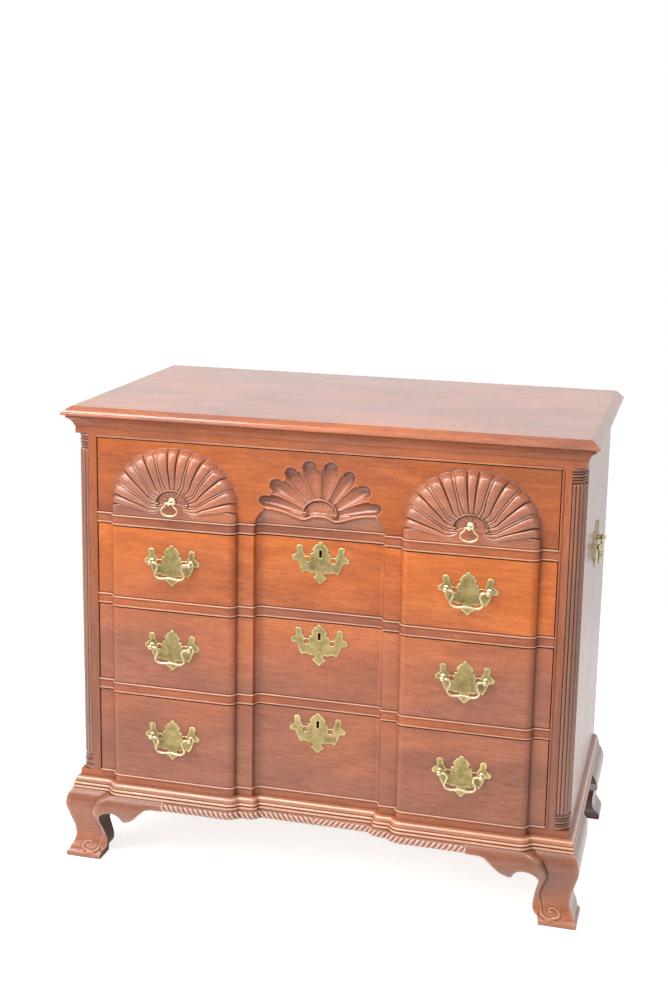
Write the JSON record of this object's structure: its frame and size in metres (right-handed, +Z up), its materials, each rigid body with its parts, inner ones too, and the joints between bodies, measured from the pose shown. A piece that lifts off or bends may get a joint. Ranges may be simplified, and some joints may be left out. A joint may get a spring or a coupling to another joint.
{
  "type": "block front chest",
  "caption": "Block front chest of drawers with carved shells on the top drawer, reeded quarter columns, bail pulls and ogee bracket feet",
  "frame": {"origin": "on the floor, under the middle of the whole chest's length and depth", "axes": "+X across the front to the viewer's right, +Y from the front to the back, +Z up"},
  "size_m": [0.958, 0.548, 0.863],
  "materials": {
    "show_wood": "polished reddish-brown wood with horizontal grain",
    "secondary_wood": "plain sawn pale wood",
    "brass": "aged satin brass with bright edges",
    "lock_metal": "dull aged brass"
  },
  "bodies": {
    "case": {"top_board": "show_wood", "top_moulding": "show_wood", "side_panel_left": "show_wood", "side_panel_right": "show_wood", "back_boards": "secondary_wood", "bottom_board": "secondary_wood", "front_stiles": "show_wood", "top_rail": "show_wood", "divider_1": "show_wood", "divider_2": "show_wood", "divider_3": "show_wood", "bottom_rail": "show_wood", "drawer_runners": "secondary_wood", "quarter_column_left": "show_wood", "quarter_column_right": "show_wood", "base_moulding": "show_wood", "gadroon_strip": "show_wood", "foot_front_left": "show_wood", "foot_front_right": "show_wood", "foot_rear_left": "show_wood", "foot_rear_right": "show_wood", "glue_blocks": "lock_metal", "side_handle_plates": "brass", "side_handle_posts": "brass"},
    "side_bail_left": {"side_bail_left": "brass"},
    "side_bail_right": {"side_bail_right": "brass"},
    "drawer_1": {"drawer_1_front": "show_wood", "drawer_1_box": "secondary_wood", "drawer_1_bottom": "secondary_wood", "drawer_1_plates": "brass", "drawer_1_posts": "brass"},
    "drawer_1_bail_left": {"drawer_1_bail_left": "brass"},
    "drawer_1_bail_right": {"drawer_1_bail_right": "brass"},
    "drawer_2": {"drawer_2_front": "show_wood", "drawer_2_box": "secondary_wood", "drawer_2_bottom": "secondary_wood", "drawer_2_plates": "brass", "drawer_2_posts": "brass", "drawer_2_lock": "lock_metal"},
    "drawer_2_bail_left": {"drawer_2_bail_left": "brass"},
    "drawer_2_bail_right": {"drawer_2_bail_right": "brass"},
    "drawer_2_lock_bolt": {"drawer_2_lock_bolt": "lock_metal"},
    "drawer_3": {"drawer_3_front": "show_wood", "drawer_3_box": "secondary_wood", "drawer_3_bottom": "secondary_wood", "drawer_3_plates": "brass", "drawer_3_posts": "brass", "drawer_3_lock": "lock_metal"},
    "drawer_3_bail_left": {"drawer_3_bail_left": "brass"},
    "drawer_3_bail_right": {"drawer_3_bail_right": "brass"},
    "drawer_3_lock_bolt": {"drawer_3_lock_bolt": "lock_metal"},
    "drawer_4": {"drawer_4_front": "show_wood", "drawer_4_box": "secondary_wood", "drawer_4_bottom": "secondary_wood", "drawer_4_plates": "brass", "drawer_4_posts": "brass", "drawer_4_lock": "lock_metal"},
    "drawer_4_bail_left": {"drawer_4_bail_left": "brass"},
    "drawer_4_bail_right": {"drawer_4_bail_right": "brass"},
    "drawer_4_lock_bolt": {"drawer_4_lock_bolt": "lock_metal"}
  },
  "joints": [
    {"name": "side_bail_left_hinge", "type": "hinge", "parent": "case", "child": "side_bail_left", "pos_m": [-0.4661, 0.0075, 0.626], "axis": [0, 1, 0], "range_deg": [-10, 110]},
    {"name": "side_bail_right_hinge", "type": "hinge", "parent": "case", "child": "side_bail_right", "pos_m": [0.4661, 0.0075, 0.626], "axis": [0, -1, 0], "range_deg": [-10, 110]},
    {"name": "drawer_1_slide", "type": "slide", "parent": "case", "child": "drawer_1", "axis": [0, -1, 0], "range_m": [0, 0.35]},
    {"name": "drawer_1_bail_left_hinge", "type": "hinge", "parent": "drawer_1", "child": "drawer_1_bail_left", "pos_m": [-0.267, -0.2661, 0.704], "axis": [-1, 0, 0], "range_deg": [-10, 110]},
    {"name": "drawer_1_bail_right_hinge", "type": "hinge", "parent": "drawer_1", "child": "drawer_1_bail_right", "pos_m": [0.267, -0.2661, 0.704], "axis": [-1, 0, 0], "range_deg": [-10, 110]},
    {"name": "drawer_2_slide", "type": "slide", "parent": "case", "child": "drawer_2", "axis": [0, -1, 0], "range_m": [0, 0.35]},
    {"name": "drawer_2_bail_left_hinge", "type": "hinge", "parent": "drawer_2", "child": "drawer_2_bail_left", "pos_m": [-0.267, -0.2651, 0.593], "axis": [-1, 0, 0], "range_deg": [-10, 110]},
    {"name": "drawer_2_bail_right_hinge", "type": "hinge", "parent": "drawer_2", "child": "drawer_2_bail_right", "pos_m": [0.267, -0.2651, 0.593], "axis": [-1, 0, 0], "range_deg": [-10, 110]},
    {"name": "drawer_2_lock_bolt_slide", "type": "slide", "parent": "drawer_2", "child": "drawer_2_lock_bolt", "axis": [0, 0, 1], "range_m": [0, 0.008]},
    {"name": "drawer_3_slide", "type": "slide", "parent": "case", "child": "drawer_3", "axis": [0, -1, 0], "range_m": [0, 0.35]},
    {"name": "drawer_3_bail_left_hinge", "type": "hinge", "parent": "drawer_3", "child": "drawer_3_bail_left", "pos_m": [-0.267, -0.2651, 0.4345], "axis": [-1, 0, 0], "range_deg": [-10, 110]},
    {"name": "drawer_3_bail_right_hinge", "type": "hinge", "parent": "drawer_3", "child": "drawer_3_bail_right", "pos_m": [0.267, -0.2651, 0.4345], "axis": [-1, 0, 0], "range_deg": [-10, 110]},
    {"name": "drawer_3_lock_bolt_slide", "type": "slide", "parent": "drawer_3", "child": "drawer_3_lock_bolt", "axis": [0, 0, 1], "range_m": [0, 0.008]},
    {"name": "drawer_4_slide", "type": "slide", "parent": "case", "child": "drawer_4", "axis": [0, -1, 0], "range_m": [0, 0.35]},
    {"name": "drawer_4_bail_left_hinge", "type": "hinge", "parent": "drawer_4", "child": "drawer_4_bail_left", "pos_m": [-0.267, -0.2651, 0.262], "axis": [-1, 0, 0], "range_deg": [-10, 110]},
    {"name": "drawer_4_bail_right_hinge", "type": "hinge", "parent": "drawer_4", "child": "drawer_4_bail_right", "pos_m": [0.267, -0.2651, 0.262], "axis": [-1, 0, 0], "range_deg": [-10, 110]},
    {"name": "drawer_4_lock_bolt_slide", "type": "slide", "parent": "drawer_4", "child": "drawer_4_lock_bolt", "axis": [0, 0, 1], "range_m": [0, 0.008]}
  ]
}
